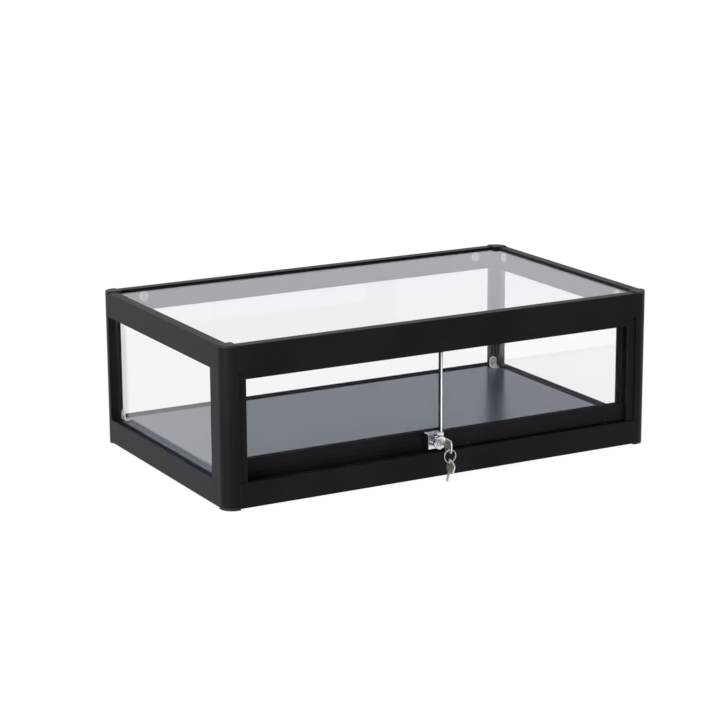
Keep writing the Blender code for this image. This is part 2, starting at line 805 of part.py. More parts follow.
def add_lock_plug():
    """Cylinder that the key turns, with its keyway."""
    ease = 0.0004
    profile = [
        (0, 0),
        (PLUG_RADIUS - ease, 0),
        (PLUG_RADIUS, -ease),
        (PLUG_RADIUS, -PLUG_LENGTH),
        (0, -PLUG_LENGTH),
    ]
    plug = turned("lock_plug", profile, CHROME, along_y(LOCK_X, PLUG_FRONT, LOCK_Z), 32)
    half_width = KEY_THICKNESS / 2 + GAP
    half_height = KEY_BLADE_HEIGHT / 2 + GAP
    depth = KEY_FRONT + KEY_LENGTH + GAP
    keyway = box_mesh(
        "keyway",
        (LOCK_X - half_width, PLUG_FRONT - 0.005, LOCK_Z - half_height),
        (LOCK_X + half_width, depth, LOCK_Z + half_height),
    )
    cut(plug, add_cutter("keyway", keyway))


def add_lock_strike():
    """Plate on the rear door that the nose enters when the lock is pushed in."""
    y = DOOR_Y["rear"] - SHOE_THICKNESS / 2 - GAP - STRIKE_THICKNESS / 2
    half = STRIKE_SIZE / 2
    corner = 0.0030
    outline = []
    for cx, cz, start in ((1, 1, 0), (-1, 1, 90), (-1, -1, 180), (1, -1, 270)):
        outline += arc((cx * (half - corner), cz * (half - corner)), corner, start, start + 90, 4)
    mesh = extruded_mesh("lock_strike", outline, STRIKE_THICKNESS, [circle((0, 0), STRIKE_HOLE_RADIUS)])
    add_object("lock_strike", mesh, CHROME, along_y(LOCK_X, y, LOCK_Z))


# ---------------------------------------------------------------- keys and ring
def key_outline():
    """Key seen from the side: a runs from the bow's outer edge to the blade's tip, b across it."""
    blade = KEY_BLADE_HEIGHT / 2
    length = KEY_LENGTH
    bow = [(0.0, 0.0068), (0.0030, 0.0098), (0.0158, 0.0106), (KEY_BOW_LENGTH, 0.0048)]
    shoulder = [(KEY_BOW_LENGTH + 0.0012, blade)]
    plain_edge = [(length - 0.0022, blade), (length, 0.0006)]
    cuts = [(length - 0.0016, -0.0014)]
    teeth = 4
    pitch = (length - KEY_BOW_LENGTH - 0.0055) / teeth
    for i in range(teeth):
        peak = length - 0.0024 - pitch * i
        cuts += [(peak, -blade + 0.0006 * (i % 2)), (peak - pitch / 2, -blade + 0.0016)]
    back = [(KEY_BOW_LENGTH + 0.0012, -blade)]
    lower_bow = [(a, -b) for a, b in reversed(bow)]
    return bow + shoulder + plain_edge + cuts + back + lower_bow


def key_mesh(name):
    outline = key_outline()
    outline.reverse()
    return extruded_mesh(name, outline, KEY_THICKNESS, [circle(KEY_HOLE, KEY_HOLE_RADIUS, 20)])


def key_frame(hole, along, across):
    """A frame that puts a key's hole at a point, its length and its width along two directions."""
    a = Vector(along).normalized()
    b = Vector(across).normalized()
    rotation = Matrix((a, b, a.cross(b))).transposed().to_4x4()
    offset = Matrix.Translation((-KEY_HOLE[0], -KEY_HOLE[1], 0))
    return Matrix.Translation(hole) @ rotation @ offset


def add_keys():
    hole_y = KEY_FRONT + KEY_HOLE[0]
    hole_z = LOCK_Z + KEY_HOLE[1]
    add_object("key", key_mesh("key"), STEEL, key_frame((LOCK_X, hole_y, hole_z), (0, 1, 0), (0, 0, 1)))
    add_ring(hole_y, hole_z - RING_RADIUS)
    sideways = Vector((0, -1, 0))
    up = Vector((0, 0, 1))
    along = -up * math.cos(SPARE_TILT) - sideways * math.sin(SPARE_TILT)
    across = sideways * math.cos(SPARE_TILT) - up * math.sin(SPARE_TILT)
    hook = (LOCK_X, hole_y, hole_z - 2 * RING_RADIUS)
    add_object("spare_key", key_mesh("spare_key"), STEEL, key_frame(hook, along, across))


def add_ring(y, z):
    bpy.ops.mesh.primitive_torus_add(
        major_segments=40, minor_segments=8, major_radius=RING_RADIUS, minor_radius=RING_WIRE
    )
    made = bpy.context.object
    mesh = made.data
    mesh.name = "key_ring"
    bpy.data.objects.remove(made, do_unlink=True)
    add_object("key_ring", mesh, STEEL, along_y(LOCK_X, y, z))


# ---------------------------------------------------------------- clear plastic fittings
def add_rail_clips():
    """Round clear caps on the inner faces of the top rails, over the corner screws."""
    rim = CLIP_RADIUS
    top = CLIP_THICKNESS
    recess = SCREW_HOLE_RADIUS * 1.6
    profile = [
        (0, top - 0.0010),
        (recess, top - 0.0010),
        (recess + 0.0006, top),
        (rim - 0.0016, top),
        (rim, top - 0.0012),
        (rim, 0),
        (0, 0),
    ]
    places = {
        "rail_clip_back_left": ("back", CLIP_X),
        "rail_clip_back_right": ("back", -CLIP_X),
        "rail_clip_left_front": ("left", CLIP_Y),
        "rail_clip_left_back": ("left", -CLIP_Y),
        "rail_clip_right_front": ("right", -CLIP_Y),
        "rail_clip_right_back": ("right", CLIP_Y),
    }
    for name, (side, along) in places.items():
        facing_in = Matrix.Rotation(math.radians(90), 4, "Y")
        frame = side_frame(side) @ Matrix.Translation((POST + GAP, CLIP_Z, along)) @ facing_in
        turned(name, profile, CLEAR_PLASTIC, frame, 28)


def bracket_section():
    """Side view of the corner bracket: an upright leg and a foot, joined by a round bend."""
    t = BRACKET_THICKNESS
    bend = 0.0020
    outer = arc((bend + t, bend + t), bend + t, 180, 270, 5)
    inner = arc((bend + t, bend + t), bend, 270, 180, 5)
    return [(0, BRACKET_LEG)] + outer + [(BRACKET_FOOT, 0), (BRACKET_FOOT, t)] + inner + [(t, BRACKET_LEG)]


def rounded_leg(length):
    """Plan of one leg with a half-round end, as wide as the bracket."""
    half = BRACKET_WIDTH / 2
    return [(-0.001, -half)] + arc((length - half, 0), half, -90, 90, 12) + [(-0.001, half)]


def add_corner_brackets():
    """Clear angle brackets that hold the base board in the back corners."""
    places = {
        "corner_bracket_back_left": ((-BRACKET_X, BRACKET_LEFT_Y), 0),
        "corner_bracket_back_right": ((BRACKET_RIGHT_X, POST_INNER_Y - 2 * GAP), 270),
    }
    for name, ((x, y), turn) in places.items():
        frame = Matrix.Translation((x, y, BOARD_TOP + GAP)) @ Matrix.Rotation(math.radians(turn), 4, "Z")
        section = frame @ Matrix.Rotation(math.radians(90), 4, "X")
        mesh = extruded_mesh(name, bracket_section(), BRACKET_WIDTH)
        obj = add_object(name, mesh, CLEAR_PLASTIC, section)
        keep_foot = extruded_mesh(name + "_foot", rounded_leg(BRACKET_FOOT), 0.1)
        keep_leg = extruded_mesh(name + "_leg", rounded_leg(BRACKET_LEG), 0.1)
        leg_turn = frame @ Matrix.Rotation(math.radians(-90), 4, "Y")
        for cutter_name, mesh, matrix in (
            (name + "_foot", keep_foot, frame),
            (name + "_leg", keep_leg, leg_turn),
        ):
            boolean = obj.modifiers.new(cutter_name, "BOOLEAN")
            boolean.operation = "INTERSECT"
            boolean.solver = "EXACT"
            boolean.object = add_cutter(cutter_name, mesh, matrix)
        foot_hole = frame @ Matrix.Translation((BRACKET_FOOT - BRACKET_WIDTH / 2, 0, 0))
        leg_hole = leg_turn @ Matrix.Translation((BRACKET_LEG - BRACKET_WIDTH / 2, 0, 0))
        cut(obj, cylinder_cutter(name + "_foot_hole", SCREW_HOLE_RADIUS, 0.02, foot_hole, 16))
        cut(obj, cylinder_cutter(name + "_leg_hole", SCREW_HOLE_RADIUS, 0.008, leg_hole, 16))


# ---------------------------------------------------------------- build
clear_scene()
PARTS = new_collection("glass_display_showcase")
CUTTERS = new_collection("cutters")
BLACK_METAL = material("black_aluminium", (0.012, 0.012, 0.013), 0.42, 0.0)
BLACK_PLASTIC = material("black_plastic", (0.010, 0.010, 0.010), 0.50)
BOARD = material("black_board", (0.020, 0.022, 0.024), 0.22)
GLASS = material("clear_glass", (0.95, 0.98, 0.97), 0.02, 0.0, 1.0)
CLEAR_PLASTIC = material("clear_plastic", (0.90, 0.92, 0.93), 0.15, 0.0, 0.9)
CHROME = material("chrome", (0.75, 0.75, 0.76), 0.12, 1.0)
STEEL = material("nickel_steel", (0.62, 0.61, 0.59), 0.28, 1.0)
RUBBER = material("black_rubber", (0.012, 0.012, 0.012), 0.75)
NYLON = material("white_nylon", (0.80, 0.80, 0.77), 0.45)

CASE = bpy.data.objects.new("showcase", None)
PARTS.objects.link(CASE)

add_posts()
add_post_ends("post_cap_", CAP_BOTTOM, HEIGHT, BLACK_PLASTIC)
add_post_ends("foot_", 0.0, FOOT_HEIGHT, BLACK_PLASTIC)
add_rails()
add_top_glass()
add_side_glass()
add_base_board()
add_door_tracks()
add_jambs()
add_side_covers()
add_door("front")
add_door("rear")
add_lock_body()
add_lock_barrel()
add_lock_plug()
add_lock_strike()
add_keys()
add_rail_clips()
add_corner_brackets()
CASE.location = (0, KEYS_REACH / 2, 0)
bpy.context.view_layer.update()
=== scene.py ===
import math

import bmesh
import bpy
from mathutils import Matrix, Vector


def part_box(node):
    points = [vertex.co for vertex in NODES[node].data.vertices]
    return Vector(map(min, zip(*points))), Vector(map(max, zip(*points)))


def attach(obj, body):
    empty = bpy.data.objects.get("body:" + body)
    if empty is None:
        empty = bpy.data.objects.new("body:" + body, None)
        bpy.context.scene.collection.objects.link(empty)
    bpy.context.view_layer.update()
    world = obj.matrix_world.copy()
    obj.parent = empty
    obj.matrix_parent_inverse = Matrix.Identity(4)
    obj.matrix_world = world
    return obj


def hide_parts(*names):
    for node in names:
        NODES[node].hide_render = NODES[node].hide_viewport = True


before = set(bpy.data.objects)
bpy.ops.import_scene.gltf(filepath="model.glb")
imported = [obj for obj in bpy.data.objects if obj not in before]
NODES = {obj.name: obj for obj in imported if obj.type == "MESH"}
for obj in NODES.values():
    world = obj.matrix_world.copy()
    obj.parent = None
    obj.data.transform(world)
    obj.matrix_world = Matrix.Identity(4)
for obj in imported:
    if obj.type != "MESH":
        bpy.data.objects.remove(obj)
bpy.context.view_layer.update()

MM = 0.001
CASE_DEPTH = 0.450
CASE_HEIGHT = 0.250
FRONT_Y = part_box("post_front_left")[0].y
CASE_Y = FRONT_Y + CASE_DEPTH / 2


# ---------------------------------------------------------------- camera, light and floor
def add_camera():
    """The view onto the left end and the front, a little above the case."""
    azimuth, elevation, roll = map(math.radians, (-28.747, 14.021, -0.320))
    distance, across, up = 3.819, -0.0236, 0.0102
    back = Vector(
        (
            math.sin(azimuth) * math.cos(elevation),
            -math.cos(azimuth) * math.cos(elevation),
            math.sin(elevation),
        )
    )
    level = Vector((0, 0, 1)).cross(back).normalized()
    upright = back.cross(level)
    right = level * math.cos(roll) + upright * math.sin(roll)
    top = upright * math.cos(roll) - level * math.sin(roll)
    middle = Vector((0, CASE_Y, CASE_HEIGHT / 2))
    data = bpy.data.cameras.new("camera")
    data.sensor_width = 36
    data.lens = 118.885
    data.clip_start = 0.05
    data.clip_end = 200
    camera = bpy.data.objects.new("camera", data)
    camera.matrix_world = Matrix((right, top, back)).transposed().to_4x4()
    camera.location = middle + right * across + top * up + back * distance
    bpy.context.scene.collection.objects.link(camera)
    bpy.context.scene.camera = camera


def add_world():
    """A soft room: brighter behind the case than in front of it."""
    world = bpy.data.worlds.new("studio")
    world.use_nodes = True
    bpy.context.scene.world = world
    nodes, links = world.node_tree.nodes, world.node_tree.links
    background = nodes["Background"]
    coord = nodes.new("ShaderNodeTexCoord")
    split = nodes.new("ShaderNodeSeparateXYZ")
    links.new(coord.outputs["Generated"], split.inputs[0])
    ramp = nodes.new("ShaderNodeValToRGB")
    span = nodes.new("ShaderNodeMapRange")
    span.inputs["From Min"].default_value = -1.0
    links.new(split.outputs["Y"], span.inputs["Value"])
    links.new(span.outputs["Result"], ramp.inputs["Fac"])
    ramp.color_ramp.elements[0].position = 0.15
    ramp.color_ramp.elements[0].color = (0.30, 0.31, 0.34, 1)
    ramp.color_ramp.elements[1].position = 0.85
    ramp.color_ramp.elements[1].color = (0.80, 0.82, 0.87, 1)
    links.new(ramp.outputs["Color"], background.inputs["Color"])
    background.inputs["Strength"].default_value = 1.0


def add_lights():
    """A wide soft sun from above, and a strip lamp that catches the front left post."""
    sun = bpy.data.lights.new("soft_overhead", "SUN")
    sun.energy = 1.75
    sun.angle = 1.4
    obj = bpy.data.objects.new("soft_overhead", sun)
    obj.rotation_euler = (math.radians(-12), math.radians(-14), 0)
    bpy.context.scene.collection.objects.link(obj)
    strip = bpy.data.lights.new("corner_strip", "AREA")
    strip.shape = "RECTANGLE"
    strip.size, strip.size_y = 0.35, 1.1
    strip.energy = 24.0
    lamp = bpy.data.objects.new("corner_strip", strip)
    lamp.location = (-1.75, -0.85, 0.56)
    aim = Vector((-0.37, -0.20, 0.10)) - Vector(lamp.location)
    lamp.rotation_euler = aim.to_track_quat("-Z", "Y").to_euler()
    bpy.context.scene.collection.objects.link(lamp)


def add_floor():
    """A plain white ground that is mostly lit by itself, so that it takes hardly any shadow."""
    mesh = bpy.data.meshes.new("floor")
    bm = bmesh.new()
    bmesh.ops.create_grid(bm, x_segments=8, y_segments=8, size=60)
    bm.to_mesh(mesh)
    bm.free()
    floor = bpy.data.objects.new("floor", mesh)
    bpy.context.scene.collection.objects.link(floor)
    mat, shader, _ = principled("floor_paper", (0.05, 0.05, 0.05), 0.95)
    shader.inputs["Specular IOR Level"].default_value = 0.0
    shader.inputs["Emission Color"].default_value = (1.0, 1.0, 1.0, 1.0)
    shader.inputs["Emission Strength"].default_value = 0.96
    mesh.materials.append(mat)


# ---------------------------------------------------------------- material helpers
def principled(name, colour, roughness, metallic=0.0):
    """A new material, its shader node, and a graph for wiring more into it."""
    mat = bpy.data.materials.new(name)
    mat.use_nodes = True
    shader = mat.node_tree.nodes["Principled BSDF"]
    shader.inputs["Base Color"].default_value = (*colour, 1.0)
    shader.inputs["Roughness"].default_value = roughness
    shader.inputs["Metallic"].default_value = metallic
    mat.diffuse_color = (*colour, 1.0)
    return mat, shader, Graph(mat.node_tree)


class Graph:
    """Small helpers for wiring procedural textures."""

    def __init__(self, tree):
        self.tree = tree
        self.coord = None

    def node(self, kind, **values):
        """A new shader node with some of its settings changed."""
        node = self.tree.nodes.new(kind)
        for key, value in values.items():
            setattr(node, key, value)
        return node

    def link(self, a, b):
        """Feed one socket into another."""
        self.tree.links.new(a, b)

    def place(self, scale):
        """Object coordinates, scaled along each axis."""
        if self.coord is None:
            self.coord = self.node("ShaderNodeTexCoord")
        mapping = self.node("ShaderNodeMapping")
        mapping.inputs["Scale"].default_value = scale
        self.link(self.coord.outputs["Object"], mapping.inputs["Vector"])
        return mapping.outputs["Vector"]

    def noise(self, scale, stretch=(1, 1, 1), detail=3.0, roughness=0.5):
        """A soft random value; a stretch below 1 on an axis draws it out along that axis."""
        noise = self.node("ShaderNodeTexNoise")
        noise.inputs["Scale"].default_value = scale
        noise.inputs["Detail"].default_value = detail
        noise.inputs["Roughness"].default_value = roughness
        self.link(self.place(stretch), noise.inputs["Vector"])
        return noise.outputs["Fac"]

    def cells(self, scale, stretch=(1, 1, 1)):
        """The distance to the nearest of many scattered points."""
        cells = self.node("ShaderNodeTexVoronoi")
        cells.inputs["Scale"].default_value = scale
        self.link(self.place(stretch), cells.inputs["Vector"])
        return cells.outputs["Distance"]

    def span(self, value, low_in, high_in, low, high):
        """A value moved from one range onto another and held at its ends."""
        node = self.node("ShaderNodeMapRange")
        for key, number in (
            ("From Min", low_in),
            ("From Max", high_in),
            ("To Min", low),
            ("To Max", high),
        ):
            node.inputs[key].default_value = number
        self.link(value, node.inputs["Value"])
        return node.outputs["Result"]

    def math(self, operation, a, b):
        """A sum on two values, each a number or a socket."""
        node = self.node("ShaderNodeMath", operation=operation)
        for socket, value in zip(node.inputs, (a, b)):
            if isinstance(value, (int, float)):
                socket.default_value = value
            else:
                self.link(value, socket)
        return node.outputs[0]

    def mix(self, factor, a, b):
        """A blend of two colours, each a tuple or a socket."""
        node = self.node("ShaderNodeMix", data_type="RGBA")
        self.link(factor, node.inputs["Factor"])
        for socket, value in ((node.inputs[6], a), (node.inputs[7], b)):
            if isinstance(value, tuple):
                socket.default_value = (*value, 1.0)
            else:
                self.link(value, socket)
        return node.outputs[2]

    def bump(self, height, distance, strength=1.0, normal=None):
        """A normal tilted by a height, as if the surface were uneven."""
        node = self.node("ShaderNodeBump")
        node.inputs["Distance"].default_value = distance
        node.inputs["Strength"].default_value = strength
        self.link(height, node.inputs["Height"])
        if normal is not None:
            self.link(normal, node.inputs["Normal"])
        return node.outputs["Normal"]

    def rounded(self, radius, samples=4):
        """A normal that looks as if the edges had this radius."""
        node = self.node("ShaderNodeBevel", samples=samples)
        node.inputs["Radius"].default_value = radius
        return node.outputs["Normal"]

    def edge_mask(self, rounded, low=0.01, high=0.12):
        """1 along edges, where the rounded normal leaves the face's own, and 0 on the flats."""
        geometry = self.node("ShaderNodeNewGeometry")
        dot = self.node("ShaderNodeVectorMath", operation="DOT_PRODUCT")
        self.link(rounded, dot.inputs[0])
        self.link(geometry.outputs["True Normal"], dot.inputs[1])
        return self.span(dot.outputs["Value"], 1 - low, 1 - high, 0.0, 1.0)

    def facing(self, axis):
        """1 on faces that look along an axis and 0 on faces beside it."""
        geometry = self.node("ShaderNodeNewGeometry")
        split = self.node("ShaderNodeSeparateXYZ")
        self.link(geometry.outputs["True Normal"], split.inputs[0])
        size = self.math("ABSOLUTE", split.outputs["XYZ".index(axis)], 0.0)
        return self.span(size, 0.45, 0.55, 0.0, 1.0)

    def streaks(self, strength):
        """Dark bands that change with a face's direction, as if a studio were mirrored in it."""
        bands = 12.57
        geometry = self.node("ShaderNodeNewGeometry")
        split = self.node("ShaderNodeSeparateXYZ")
        self.link(geometry.outputs["Normal"], split.inputs[0])
        turn = self.math("ADD", split.outputs[2], self.math("MULTIPLY", split.outputs[0], 0.9))
        wave = self.math("COSINE", self.math("MULTIPLY", turn, bands), 0.0)
        return self.span(wave, 0.1, -0.7, 0.0, strength)


# ---------------------------------------------------------------- materials
PANE_TINT = (0.957, 0.961, 0.967)
DOOR_TINT = (0.988, 0.99, 0.993)
TOP_TINT = (0.99, 0.99, 0.992)


def black_extrusion(name, run):
    """Black coated aluminium: fine grain, faint die lines along its run, and slightly rounded edges
    painted lighter as a highlight.
    """
    mat, shader, g = principled(name, (0.0065, 0.006, 0.007), 0.38)
    shader.inputs["Specular IOR Level"].default_value = 0.08
    shader.inputs["Specular Tint"].default_value = (0.93, 0.87, 1.0, 1.0)
    stretch = {"X": (0.04, 1, 1), "Y": (1, 0.04, 1), "Z": (1, 1, 0.04)}[run]
    rounded = g.rounded(0.5 * MM)
    lines = g.noise(900, stretch, 2.0)
    grain = g.noise(3200, (1, 1, 1), 2.0, 0.6)
    cloud = g.noise(9, (1, 1, 1), 3.0)
    edge = g.edge_mask(rounded)
    deep, worn = (0.0063, 0.0058, 0.0066), (0.0096, 0.0088, 0.0101)
    tone = g.mix(g.span(cloud, 0.35, 0.65, 0.0, 1.0), deep, worn)
    # Painted highlight: every edge is lighter than the flats.
    colour = g.mix(edge, tone, (0.045, 0.042, 0.047))
    g.link(colour, shader.inputs["Base Color"])
    gloss = g.span(cloud, 0.3, 0.7, 0.34, 0.40)
    rough = g.math("ADD", gloss, g.span(grain, 0.3, 0.7, 0.0, 0.06))
    g.link(rough, shader.inputs["Roughness"])
    height = g.math("ADD", g.math("MULTIPLY", lines, 0.5), g.math("MULTIPLY", grain, 0.5))
    g.link(g.bump(height, 0.02 * MM, 0.5, rounded), shader.inputs["Normal"])
    return mat


def black_moulding(name):
    """Black moulded plastic with a fine spark-eroded grain."""
    mat, shader, g = principled(name, (0.010, 0.010, 0.011), 0.5)
    shader.inputs["Specular IOR Level"].default_value = 0.25
    rounded = g.rounded(0.4 * MM)
    grain = g.noise(2600, (1, 1, 1), 3.0, 0.65)
    cells = g.cells(1900)
    tone = g.mix(g.span(grain, 0.3, 0.7, 0.0, 1.0), (0.008, 0.008, 0.009), (0.013, 0.0125, 0.014))
    g.link(tone, shader.inputs["Base Color"])
    g.link(g.span(grain, 0.3, 0.7, 0.44, 0.56), shader.inputs["Roughness"])
    height = g.math("ADD", grain, g.math("MULTIPLY", cells, 0.5))
    g.link(g.bump(height, 0.03 * MM, 0.6, rounded), shader.inputs["Normal"])
    return mat


def seal_rubber():
    """Matt black rubber with a faint bloom."""
    mat, shader, g = principled("black_rubber", (0.010, 0.010, 0.010), 0.75)
    shader.inputs["Specular IOR Level"].default_value = 0.2
    bloom = g.noise(600, (1, 1, 0.2), 3.0)
    tone = g.mix(g.span(bloom, 0.3, 0.7, 0.0, 1.0), (0.007, 0.007, 0.007), (0.014, 0.014, 0.015))
    g.link(tone, shader.inputs["Base Color"])
    g.link(g.span(bloom, 0.3, 0.7, 0.68, 0.82), shader.inputs["Roughness"])
    g.link(g.bump(bloom, 0.04 * MM, 0.6, g.rounded(0.3 * MM)), shader.inputs["Normal"])
    return mat


def board_laminate():
    """Semi-gloss dark laminate with a fine pebble and a faint cloud in its gloss."""
    mat, shader, g = principled("black_board", (0.022, 0.028, 0.035), 0.21)
    shader.inputs["Specular IOR Level"].default_value = 0.5
    pebble = g.noise(1400, (1, 1, 1), 2.0, 0.5)
    cloud = g.noise(7, (1, 1, 1), 1.0)
    tone = g.mix(g.span(cloud, 0.3, 0.7, 0.0, 1.0), (0.018, 0.027, 0.037), (0.024, 0.033, 0.044))
    g.link(tone, shader.inputs["Base Color"])
    g.link(g.span(cloud, 0.3, 0.7, 0.20, 0.23), shader.inputs["Roughness"])
    g.link(g.bump(pebble, 0.01 * MM, 0.2), shader.inputs["Normal"])
    return mat


def pane_glass(name, axis, clear, ior, painted_bright_edges=False):
    """Clear float glass across one axis, with a breath of dust and opaque ground edges, dark green
    unless they are painted bright as a highlight.

    The index of refraction sets how much the pane mirrors. Most panes have a lower one than
    real glass, because they hardly mirror anything in the picture that this follows.
    """
    mat, shader, g = principled(name, clear, 0.0)
    shader.inputs["IOR"].default_value = ior
    flat = g.facing(axis)
    grind = g.span(g.noise(900, (1, 1, 1), 2.0), 0.3, 0.7, 0.0, 1.0)
    if painted_bright_edges:
        # Painted highlight: bright edges are given a near-white opaque colour.
        edge = g.mix(grind, (0.72, 0.84, 0.82), (0.90, 0.96, 0.94))
    else:
        edge = g.mix(grind, (0.010, 0.022, 0.020), (0.020, 0.036, 0.032))
    haze = g.span(g.noise(5, (1, 1, 1), 4.0, 0.6), 0.3, 0.7, 0.0, 1.0)
    dusty = tuple(0.994 * c for c in clear)
    g.link(g.mix(flat, edge, g.mix(haze, clear, dusty)), shader.inputs["Base Color"])
    g.link(flat, shader.inputs["Transmission Weight"])
    g.link(g.span(flat, 0.0, 1.0, 0.22, 0.0), shader.inputs["Roughness"])
    return mat


def clear_moulding():
    """Clear moulded plastic: see-through flats, rims made opaque and near-white as a painted
    highlight, and slight ripples.
    """
    mat, shader, g = principled("clear_plastic", (0.97, 0.98, 0.99), 0.04)
    shader.inputs["IOR"].default_value = 1.49
    rounded = g.rounded(2.0 * MM)
    painted_rim_highlight = g.edge_mask(rounded)
    # Painted highlight: the rims lose their transmission and show their near-white colour.
    g.link(g.span(painted_rim_highlight, 0.05, 0.6, 0.80, 0.05), shader.inputs["Transmission Weight"])
    ripple = g.noise(260, (1, 1, 1), 2.0)
    g.link(g.span(ripple, 0.3, 0.7, 0.02, 0.10), shader.inputs["Roughness"])
    tone = g.mix(g.span(ripple, 0.4, 0.7, 0.0, 1.0), (0.97, 0.98, 0.99), (0.88, 0.91, 0.93))
    g.link(tone, shader.inputs["Base Color"])
    g.link(g.bump(ripple, 0.12 * MM, 0.8, rounded), shader.inputs["Normal"])
    return mat


def plated(name, colour, roughness, painted_edge_shading, streaks=0.0, edge_width=0.35 * MM):
    """Metal with hairlines and worn patches, edges painted in a colour of their own (a painted
    highlight where lighter, painted shade where darker) and optional painted reflection bands.
    """
    mat, shader, g = principled(name, colour, roughness, 1.0)
    rounded = g.rounded(edge_width)
    hair = g.noise(1800, (1, 1, 1), 3.0, 0.6)
    wear = g.noise(140, (1, 1, 1), 4.0, 0.6)
    dark = tuple(0.72 * c for c in colour)
    tone = g.mix(g.span(wear, 0.35, 0.65, 0.0, 1.0), dark, colour)
    # Painted light along the edges: a lighter edge colour is a painted highlight, a darker one
    # painted shade.
    tone = g.mix(g.edge_mask(rounded), tone, painted_edge_shading)
    # Painted reflection: dark bands that follow each face's direction.
    if streaks:
        tone = g.mix(g.streaks(streaks), tone, (0.03, 0.032, 0.036))
    g.link(tone, shader.inputs["Base Color"])
    worn = g.span(wear, 0.3, 0.7, roughness * 0.7, roughness)
    rough = g.math("ADD", worn, g.span(hair, 0.3, 0.7, 0.0, 0.10))
    g.link(rough, shader.inputs["Roughness"])
    g.link(g.bump(hair, 0.012 * MM, 0.5, rounded), shader.inputs["Normal"])
    return mat


def key_metal():
    """Nickel-plated key: mottled broad faces painted darker as shade, and its narrow faces and edges
    painted bright as a highlight.
    """
    mat, shader, g = principled("key_nickel", (0.50, 0.48, 0.47), 0.3, 1.0)
    rounded = g.rounded(0.35 * MM, 6)
    wear = g.noise(330, (1, 1, 1), 4.0, 0.65)
    tone = g.mix(g.span(wear, 0.3, 0.7, 0.0, 1.0), (0.30, 0.29, 0.28), (0.56, 0.54, 0.51))
    # Painted shade and highlight: the broad faces, which look along X, keep the darker mottled tone,
    # and the narrow faces turn near-white.
    flats = g.facing("X")
    tone = g.mix(flats, (0.86, 0.84, 0.78), tone)
    # Painted highlight: the edges are lighter still.
    tone = g.mix(g.edge_mask(rounded), tone, (0.90, 0.88, 0.82))
    g.link(tone, shader.inputs["Base Color"])
    g.link(g.span(wear, 0.3, 0.7, 0.34, 0.50), shader.inputs["Roughness"])
    g.link(g.bump(wear, 0.06 * MM, 0.7, rounded), shader.inputs["Normal"])
    return mat


def nylon():
    """Dark nylon for the rollers, slightly mottled."""
    mat, shader, g = principled("grey_nylon", (0.020, 0.020, 0.021), 0.5)
    mottle = g.noise(420, (1, 1, 1), 3.0)
    tone = g.mix(g.span(mottle, 0.3, 0.7, 0.0, 1.0), (0.014, 0.014, 0.015), (0.024, 0.024, 0.026))
    g.link(tone, shader.inputs["Base Color"])
    g.link(g.span(mottle, 0.3, 0.7, 0.38, 0.52), shader.inputs["Roughness"])
    g.link(g.bump(mottle, 0.05 * MM, 0.6, g.rounded(0.4 * MM)), shader.inputs["Normal"])
    return mat


def dress(mat, *names):
    """Give CAD nodes one material in place of the plain one they come with."""
    for name in names:
        obj = NODES[name]
        obj.data.materials.clear()
        obj.data.materials.append(mat)


def matching(*starts):
    """The names of the CAD nodes that begin in any of these ways."""
    return [name for name in NODES if name.startswith(starts)]


# ---------------------------------------------------------------- made pieces
def lathe(name, profile, steps=28):
    """A closed mesh turned about Z from (radius, height) points, both ends on the axis."""
    bm = bmesh.new()
    rings = []
    for radius, height in profile:
        if radius < 1e-7:
            rings.append([bm.verts.new((0, 0, height))])
            continue
        ring = []
        for i in range(steps):
            a = 2 * math.pi * i / steps
            ring.append(bm.verts.new((radius * math.cos(a), radius * math.sin(a), height)))
        rings.append(ring)
    for upper, lower in zip(rings, rings[1:]):
        for i in range(steps):
            j = (i + 1) % steps
            if len(upper) == 1:
                bm.faces.new((upper[0], lower[i], lower[j]))
            elif len(lower) == 1:
                bm.faces.new((upper[i], lower[0], upper[j]))
            else:
                bm.faces.new((upper[i], lower[i], lower[j], upper[j]))
    bmesh.ops.recalc_face_normals(bm, faces=bm.faces)
    mesh = bpy.data.meshes.new(name)
    bm.to_mesh(mesh)
    bm.free()
    return mesh


def add_piece(name, mesh, mat, matrix, body, smooth=40):
    """A made piece that rides on a body; edges sharper than `smooth` degrees stay sharp."""
    obj = bpy.data.objects.new(name, mesh)
    bpy.context.scene.collection.objects.link(obj)
    obj.matrix_world = matrix
    mesh.materials.clear()
    mesh.materials.append(mat)
    mesh.shade_smooth()
    mesh.set_sharp_from_angle(angle=math.radians(smooth))
    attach(obj, body)
    return obj


def facing_frame(place, direction, spin=0.0):
    """A frame at a place whose Z axis looks along a direction."""
    z = Vector(direction).normalized()
    turn = Vector((0, 0, 1)).rotation_difference(z).to_matrix().to_4x4()
    return Matrix.Translation(place) @ turn @ Matrix.Rotation(spin, 4, "Z")


def apply_modifiers(obj):
    """A new mesh with the object's modifiers worked in; the object loses them."""
    depsgraph = bpy.context.evaluated_depsgraph_get()
    mesh = bpy.data.meshes.new_from_object(obj.evaluated_get(depsgraph))
    obj.modifiers.clear()
    return mesh


